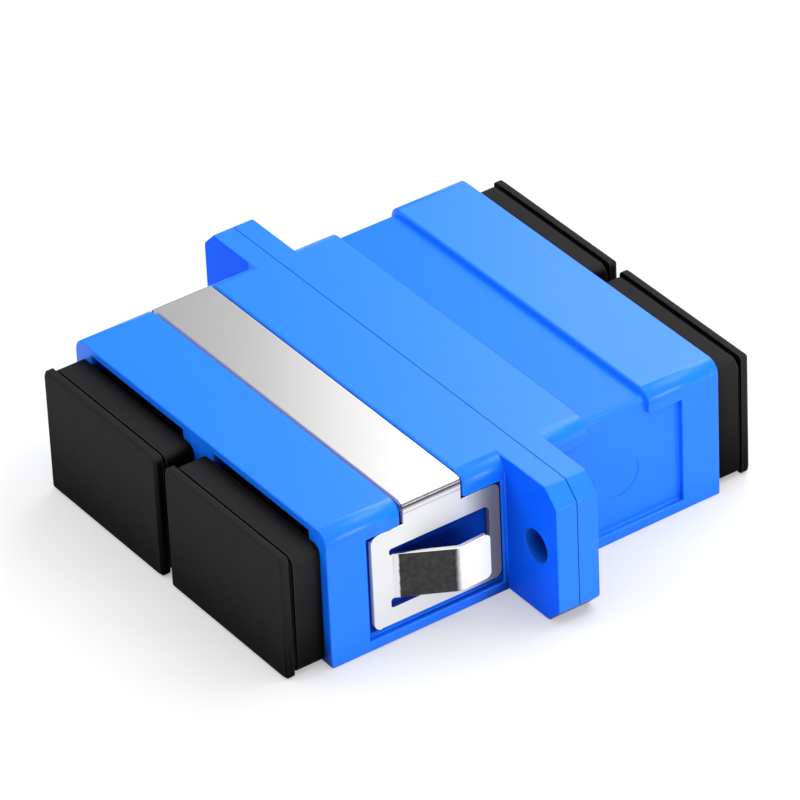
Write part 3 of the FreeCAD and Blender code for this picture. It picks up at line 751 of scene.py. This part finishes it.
@dataclass(frozen=True)
class NaturalPlastic:
    """Undyed engineering plastic of the latch inserts, slightly translucent."""

    name: str = "natural_insert"
    colour: Colour = (0.72, 0.68, 0.58)
    flow_colour: Colour = (0.64, 0.59, 0.48)
    flow_size: float = 3 * MM
    roughness: float = 0.42
    grain: float = 0.1 * MM
    grain_depth: float = 0.003 * MM
    relief_strength: float = 0.4
    glow_share: float = 0.15
    glow_spread: Vector = Vector((0.8, 0.7, 0.5))
    glow_depth: float = 0.6 * MM

    def material(self) -> bpy.types.Material:
        """Make the material.

        Returns:
            The finished material.
        """
        shader = Shader(self.name)
        flow = shader.noise(self.flow_size, detail=3)
        return shader.finish(
            Base_Color=shader.blend(flow, self.colour, self.flow_colour),
            Roughness=self.roughness,
            Normal=shader.relief(shader.noise(self.grain), self.grain_depth, self.relief_strength),
            Subsurface_Weight=self.glow_share,
            Subsurface_Radius=self.glow_spread,
            Subsurface_Scale=self.glow_depth,
        )


@dataclass(frozen=True)
class GroundCeramic:
    """White ceramic of the split sleeves, with fine rings from centreless grinding."""

    name: str = "ground_ceramic"
    colour: Colour = (0.85, 0.85, 0.82)
    ring_colour: Colour = (0.78, 0.78, 0.75)
    ring: float = 0.3 * MM
    ring_stretch: Vector = Vector((0.05, 4, 0.05))
    ring_depth: float = 0.001 * MM
    relief_strength: float = 0.3
    roughness: float = 0.22
    coat: float = 0.2
    coat_roughness: float = 0.1

    def material(self) -> bpy.types.Material:
        """Make the material.

        Returns:
            The finished material.
        """
        shader = Shader(self.name)
        rings = shader.noise(self.ring, detail=3, stretch=self.ring_stretch)
        return shader.finish(
            Base_Color=shader.blend(rings, self.colour, self.ring_colour),
            Roughness=self.roughness,
            Normal=shader.relief(rings, self.ring_depth, self.relief_strength),
            Coat_Weight=self.coat,
            Coat_Roughness=self.coat_roughness,
        )


@dataclass(frozen=True)
class SoftEdges:
    """How a piece's edges are rounded off and shaded.

    Attributes:
        radius: Width of the rounding.
        steps: Facets across the rounding.
        profile: Roundness of its section, 0.5 for a circle.
        room: Width of a face that takes a rounding, in radii.
        length: Length of an edge that takes one, in radii.
        sharp: Angle from which an edge gets a rounding.
        crisp: Angle from which an edge still shows as a line afterwards.
        flat: Angle up to which neighbouring facets are one face.
        weld: Distance at which points of the solid's mesh are the same.
        heal: Distance at which points of the rounded mesh are the same.
        broad: Width of a face that is shaded flat.
        grip: How far a facet may turn from a broad face and still run into it, as a cosine.
    """

    radius: float
    steps: int = 2
    profile: float = 0.5
    room: float = 2.5
    length: float = 2.0
    sharp: float = math.radians(25)
    crisp: float = math.radians(48)
    flat: float = math.radians(0.5)
    weld: float = 0.0005 * MM
    heal: float = 0.003 * MM
    broad: float = 0.6 * MM
    grip: float = 0.64

    def has_room(self, edge: bmesh.types.BMEdge) -> bool:
        """Tell whether both faces of an edge are wide enough for the rounding."""
        least = self.room * self.radius
        return all(face.calc_area() / edge.calc_length() > least for face in edge.link_faces)

    def takes_rounding(self, edge: bmesh.types.BMEdge) -> bool:
        """Tell whether an edge is sharp and long enough for the rounding, and has room for it.

        Args:
            edge: The edge.

        Returns:
            True where the edge gets a rounding.
        """
        return (
            len(edge.link_faces) == 2
            and edge.calc_face_angle(0.0) > self.sharp
            and edge.calc_length() > self.length * self.radius
            and self.has_room(edge)
        )

    def round_off(self, form: bmesh.types.BMesh) -> None:
        """Join the flat facets of a mesh and round its sharp edges.

        Args:
            form: The mesh, changed in place.
        """
        bmesh.ops.remove_doubles(form, verts=form.verts, dist=self.weld)
        bmesh.ops.dissolve_limit(form, angle_limit=self.flat, verts=form.verts, edges=form.edges)
        bmesh.ops.bevel(
            form, geom=[edge for edge in form.edges if self.takes_rounding(edge)],
            offset=self.radius, segments=self.steps, profile=self.profile,
            affect="EDGES", offset_type="OFFSET", clamp_overlap=False,
        )
        bmesh.ops.remove_doubles(form, verts=form.verts, dist=self.heal)
        for face in form.faces:
            face.smooth = True
        for edge in form.edges:
            edge.smooth = len(edge.link_faces) == 2 and edge.calc_face_angle(0.0) < self.crisp

    def is_broad(self, mesh: bpy.types.Mesh, face: bpy.types.MeshPolygon) -> bool:
        """Tell whether a face is a broad flat one and no facet of a curve.

        Args:
            mesh: The mesh that the face belongs to.
            face: The face.

        Returns:
            True for a broad face.
        """
        points = [mesh.vertices[index].co for index in face.vertices]
        longest = max((after - here).length for here, after in zip(points, points[1:] + points[:1]))
        return face.area / longest > self.broad

    def shade_evenly(self, mesh: bpy.types.Mesh) -> None:
        """Shade the broad faces flat and let the roundings beside them run into them.

        Args:
            mesh: The finished mesh, whose shading is changed in place.
        """
        broad = {face.index: face.normal.copy() for face in mesh.polygons if self.is_broad(mesh, face)}
        beside = {}
        for index, normal in broad.items():
            for point in mesh.polygons[index].vertices:
                beside.setdefault(point, []).append(normal)
        shading = [Vector() for _ in mesh.loops]
        for face in mesh.polygons:
            for corner in face.loop_indices:
                choices = [broad[face.index]] if face.index in broad else [
                    normal for normal in beside.get(mesh.loops[corner].vertex_index, ())
                    if normal.dot(face.normal) > self.grip
                ]
                if choices:
                    shading[corner] = max(choices, key=face.normal.dot)
        mesh.normals_split_custom_set(shading)


@dataclass
class Piece:
    """A node of the adapter, shown as a copy with rounded edges and its own finish.

    Attributes:
        node: Name of the node in the frame.
        body: Body that the piece moves with.
        slot: Material slot of the piece; not used.
        finish: Material of the piece.
    """

    node: str
    body: str
    slot: Slot
    finish: bpy.types.Material

    def reshape(self, form: bmesh.types.BMesh) -> None:
        """Leave the form as the solid has it."""

    def shape(self, edges: SoftEdges) -> bpy.types.Mesh:
        """Copy the node's form, round its edges and keep it inside the node's box.

        Args:
            edges: How its edges are rounded.

        Returns:
            The mesh of the piece.
        """
        form = bmesh.new()
        form.from_mesh(frame["nodes"][self.node].data)
        self.reshape(form)
        edges.round_off(form)
        low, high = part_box(self.node)
        for point in form.verts:
            limits = zip(low, point.co, high)
            point.co = Vector(max(least, min(place, most)) for least, place, most in limits)
        mesh = bpy.data.meshes.new(f"{self.node}_form")
        form.to_mesh(mesh)
        form.free()
        edges.shade_evenly(mesh)
        return mesh

    def build(self, edges: SoftEdges) -> None:
        """Dress the form and let it ride on its body in place of the node.

        Args:
            edges: How its edges are rounded.
        """
        mesh = self.shape(edges)
        mesh.materials.clear()
        mesh.materials.append(self.finish)
        piece = bpy.data.objects.new(f"{self.node}_piece", mesh)
        bpy.context.scene.collection.objects.link(piece)
        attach(piece, self.body)
        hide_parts(self.node)
        LOG.info("%s: %d faces on %s", piece.name, len(mesh.polygons), self.body)


@dataclass
class Cap(Piece):
    """A dust cap, whose grip block gets tighter corners than the solid's.

    Attributes:
        block_start: Start of the grip block, from the middle of the part along Y.
        block_end: End of the stretch whose corners are tightened.
        block_inset: Top edge of the end plate to the top of the grip block.
        drawn_radius: Radius of the solid's corners.
        shown_radius: Radius of the piece's corners.
    """

    block_start: float = 13.9 * MM
    block_end: float = 16.0 * MM
    block_inset: float = 0.15 * MM
    drawn_radius: float = 1.2 * MM
    shown_radius: float = 0.6 * MM

    def reshape(self, form: bmesh.types.BMesh) -> None:
        """Tighten the four corners of the grip block and of the neck behind it.

        Args:
            form: The cap's mesh, changed in place.
        """
        low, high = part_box(self.node)
        middle = (low + high) / 2
        reach = (high - low) / 2
        spare = self.drawn_radius - self.shown_radius
        for point in form.verts:
            if not self.block_start < abs(point.co.y) < self.block_end:
                continue
            offset = point.co - middle
            across = abs(offset.x) - (reach.x - self.drawn_radius)
            upwards = abs(offset.z) - (reach.z - self.block_inset - self.drawn_radius)
            if across < 0 or upwards < 0:
                continue
            arm = Vector((across, upwards)).normalized()
            point.co.x += math.copysign(spare * (1 - arm.x), offset.x)
            point.co.z += math.copysign(spare * (1 - arm.y), offset.z)


@dataclass
class Housing:
    """The two blue mouldings that are welded to each other at mid-length."""

    edge_radius: float = 0.07 * MM

    def build(self) -> None:
        """Make both halves."""
        finish = MouldedPlastic().material()
        for end in End:
            half = Piece(f"{end.value}_housing", "adapter", Slot.BLUE_PLASTIC, finish)
            half.build(SoftEdges(self.edge_radius))


@dataclass
class PanelClip:
    """The strip of spring steel folded over the front half."""

    edge_radius: float = 0.05 * MM

    def build(self) -> None:
        """Make the clip."""
        clip = Piece("panel_clip", "adapter", Slot.SPRING_STEEL, PlatedSteel().material())
        clip.build(SoftEdges(self.edge_radius))


@dataclass
class LatchInserts:
    """The four inserts with latch hooks, and the split sleeve that each pair of them holds."""

    edge_radius: float = 0.05 * MM
    sleeve_edge_radius: float = 0.03 * MM

    def build(self) -> None:
        """Make the inserts and their sleeves."""
        plastic = NaturalPlastic().material()
        ceramic = GroundCeramic().material()
        for side in Side:
            for end in End:
                name = f"{end.value}_{side.value}_latch"
                latch = Piece(name, "adapter", Slot.LATCH_PLASTIC, plastic)
                latch.build(SoftEdges(self.edge_radius))
            sleeve = Piece(f"{side.value}_sleeve", "adapter", Slot.ZIRCONIA, ceramic)
            sleeve.build(SoftEdges(self.sleeve_edge_radius))


@dataclass
class DustCaps:
    """The four pull-off caps, one on each port."""

    edge_radius: float = 0.06 * MM

    def build(self) -> None:
        """Make the caps."""
        finish = CapPlastic().material()
        for end in End:
            for side in Side:
                name = f"{end.value}_{side.value}_cap"
                Cap(name, name, Slot.BLACK_PLASTIC, finish).build(SoftEdges(self.edge_radius))


def direction(azimuth: float, elevation: float) -> Vector:
    """Work out the direction from the adapter towards a lamp or a camera.

    Args:
        azimuth: Angle round Z, in degrees, from the front towards the right.
        elevation: Angle above the floor, in degrees.

    Returns:
        The direction, of length 1.
    """
    turn, rise = math.radians(azimuth), math.radians(elevation)
    return Vector((math.sin(turn) * math.cos(rise), -math.cos(turn) * math.cos(rise), math.sin(rise)))


@dataclass(frozen=True)
class Softbox:
    """A rectangular lamp that faces the adapter.

    Attributes:
        name: Name of the lamp.
        azimuth: Its direction round Z, in degrees.
        elevation: Its direction above the floor, in degrees.
        distance: Distance from the point that it aims at.
        width: Width of its face.
        height: Height of its face.
        power: Power in watts.
        aim: Point that it aims at.
    """

    name: str
    azimuth: float
    elevation: float
    distance: float
    width: float
    height: float
    power: float
    aim: Vector = Vector()

    def build(self) -> None:
        """Hang the lamp and aim it."""
        back = direction(self.azimuth, self.elevation)
        data = bpy.data.lights.new(self.name, "AREA")
        data.shape = "RECTANGLE"
        data.size = self.width
        data.size_y = self.height
        data.energy = self.power
        lamp = bpy.data.objects.new(self.name, data)
        lamp.location = self.aim + back * self.distance
        lamp.rotation_euler = back.to_track_quat("Z", "Y").to_euler()
        bpy.context.scene.collection.objects.link(lamp)


@dataclass
class Studio:
    """Pale floor, a sky that brightens towards the top, and soft lamps.

    Attributes:
        floor_half: Half of the floor's width.
        floor_gap: Distance between the floor and the adapter.
        floor_tone: How much light the floor sends back.
        backdrop_share: Share of plain white in what the camera and glossy pieces see of the floor.
        horizon: Strength of the sky low down.
        zenith: Strength of the sky overhead.
        horizon_rise: Height at which the sky begins to brighten, 1 being overhead.
        zenith_rise: Height at which it is at its brightest.
        dim_share: How much weaker the sky is in its dim spot.
        dim_azimuth: Direction of the dim spot round Z, in degrees.
        dim_elevation: Direction of the dim spot above the floor, in degrees.
        dim_start: Cosine of the angle from the dim spot at which the sky begins to weaken.
        dim_full: Cosine of the angle at which it is at its weakest.
        softboxes: The lamps.
    """

    floor_half: float = 1.5
    floor_gap: float = 0.01 * MM
    floor_tone: float = 0.76
    backdrop_share: float = 0.36
    horizon: float = 0.5
    zenith: float = 1.25
    horizon_rise: float = 0.2
    zenith_rise: float = 0.95
    dim_share: float = 0.4
    dim_azimuth: float = 236.0
    dim_elevation: float = 34.0
    dim_start: float = 0.8
    dim_full: float = 0.97
    softboxes: tuple[Softbox, ...] = (
        Softbox(
            "back_softbox", azimuth=236.0, elevation=36.0, distance=0.16,
            width=0.12, height=0.12, power=0.12, aim=Vector((0.0395, 0.059, 0)),
        ),
        Softbox(
            "back_fill", azimuth=236.0, elevation=36.0, distance=0.18,
            width=0.12, height=0.12, power=0.03, aim=Vector((0.029, 0.043, 0)),
        ),
        Softbox(
            "top_right_softbox", azimuth=146.0, elevation=60.0, distance=0.08,
            width=0.05, height=0.05, power=0.026,
        ),
        Softbox(
            "right_softbox", azimuth=100.0, elevation=7.0, distance=0.2,
            width=0.12, height=0.03, power=0.17,
        ),
        Softbox(
            "front_softbox", azimuth=-35.0, elevation=45.0, distance=0.5,
            width=0.3, height=0.3, power=0.78,
        ),
    )

    def build(self) -> None:
        """Make the floor, the surroundings and the lamps."""
        self.lay_floor()
        self.surround()
        for softbox in self.softboxes:
            softbox.build()

    def lay_floor(self) -> None:
        """Lay the floor under the adapter."""
        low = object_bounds()[0].z - self.floor_gap
        half = self.floor_half
        mesh = bpy.data.meshes.new("floor")
        corners = [(-half, -half, low), (half, -half, low), (half, half, low), (-half, half, low)]
        mesh.from_pydata(corners, [], [range(len(corners))])
        mesh.materials.append(self.floor_finish())
        floor = bpy.data.objects.new("floor", mesh)
        bpy.context.scene.collection.objects.link(floor)
        floor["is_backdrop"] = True

    def floor_finish(self) -> bpy.types.Material:
        """Make the floor's material, matt with a share of plain white.

        Returns:
            The finished material.
        """
        shader = Shader("pale_floor")
        rays = shader.add("ShaderNodeLightPath").outputs
        seen = shader.larger(rays["Is Camera Ray"], rays["Is Glossy Ray"])
        seen = shader.larger(seen, rays["Is Transmission Ray"])
        matt = shader.add("ShaderNodeBsdfDiffuse", {"Color": (*(self.floor_tone,) * 3, 1)})
        white = shader.add("ShaderNodeEmission", {"Color": WHITE, "Strength": 1.0})
        mix = shader.add("ShaderNodeMixShader", {
            0: shader.scaled(seen, self.backdrop_share), 1: matt.outputs[0], 2: white.outputs[0],
        })
        shader.close(mix.outputs[0], "ShaderNodeOutputMaterial")
        return shader.material

    def surround(self) -> None:
        """Surround the scene with white light, stronger overhead and weaker low at the back."""
        world = bpy.data.worlds.new("surroundings")
        graph = Graph(world)
        outwards = graph.add("ShaderNodeTexCoord").outputs["Generated"]
        level = graph.between(
            graph.split(outwards)[2], self.horizon_rise, self.zenith_rise, self.horizon, self.zenith
        )
        dim = direction(self.dim_azimuth, self.dim_elevation)
        nearness = graph.add("ShaderNodeVectorMath", {0: outwards, 1: dim}, operation="DOT_PRODUCT")
        kept = graph.between(
            nearness.outputs["Value"], self.dim_start, self.dim_full, 1.0, 1.0 - self.dim_share
        )
        glow = graph.add("ShaderNodeBackground", {"Color": WHITE, "Strength": graph.scaled(level, kept)})
        graph.close(glow.outputs[0], "ShaderNodeOutputWorld")
        bpy.context.scene.world = world
        bpy.context.scene.view_settings.view_transform = "Standard"


@dataclass
class Viewpoint:
    """Camera that looks down on the front right of the adapter.

    Attributes:
        azimuth: Direction of the camera round Z, in degrees.
        elevation: Direction of the camera above the floor, in degrees.
        roll: Turn of the camera about its line of sight, in degrees.
        distance: Distance of the camera.
        sideways: Shift of the camera to its right.
        upwards: Shift of the camera to its top.
        forward: Shift of the camera along Y.
        lens: Focal length, in millimetres.
        sensor: Width of the sensor, in millimetres.
        near: Nearest distance that it sees.
    """

    azimuth: float = 56.113
    elevation: float = 34.448
    roll: float = -2.69
    distance: float = 395.1 * MM
    sideways: float = 0.242 * MM
    upwards: float = 0.895 * MM
    forward: float = -0.12 * MM
    lens: float = 302.8
    sensor: float = 36.0
    near: float = 10 * MM

    def build(self) -> None:
        """Place the camera and make it the scene's own."""
        back = direction(self.azimuth, self.elevation)
        level = direction(self.azimuth + 90, 0)
        basis = Matrix((level, back.cross(level), back)).transposed()
        basis = basis @ Matrix.Rotation(math.radians(self.roll), 3, "Z")
        data = bpy.data.cameras.new("camera")
        data.lens = self.lens
        data.sensor_width = self.sensor
        data.clip_start = self.near
        camera = bpy.data.objects.new("camera", data)
        place = basis @ Vector((self.sideways, self.upwards, self.distance))
        place.y += self.forward
        camera.matrix_world = Matrix.Translation(place) @ basis.to_4x4()
        bpy.context.scene.collection.objects.link(camera)
        bpy.context.scene.camera = camera


def main() -> None:
    """Build the adapter, the studio and the camera."""
    logging.basicConfig(level=logging.INFO, format="%(name)s: %(message)s")
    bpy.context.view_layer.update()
    for assembly in (Housing(), PanelClip(), LatchInserts(), DustCaps(), Studio(), Viewpoint()):
        assembly.build()
        LOG.info("%s done", type(assembly).__name__)


if __name__ == "__main__":
    main()
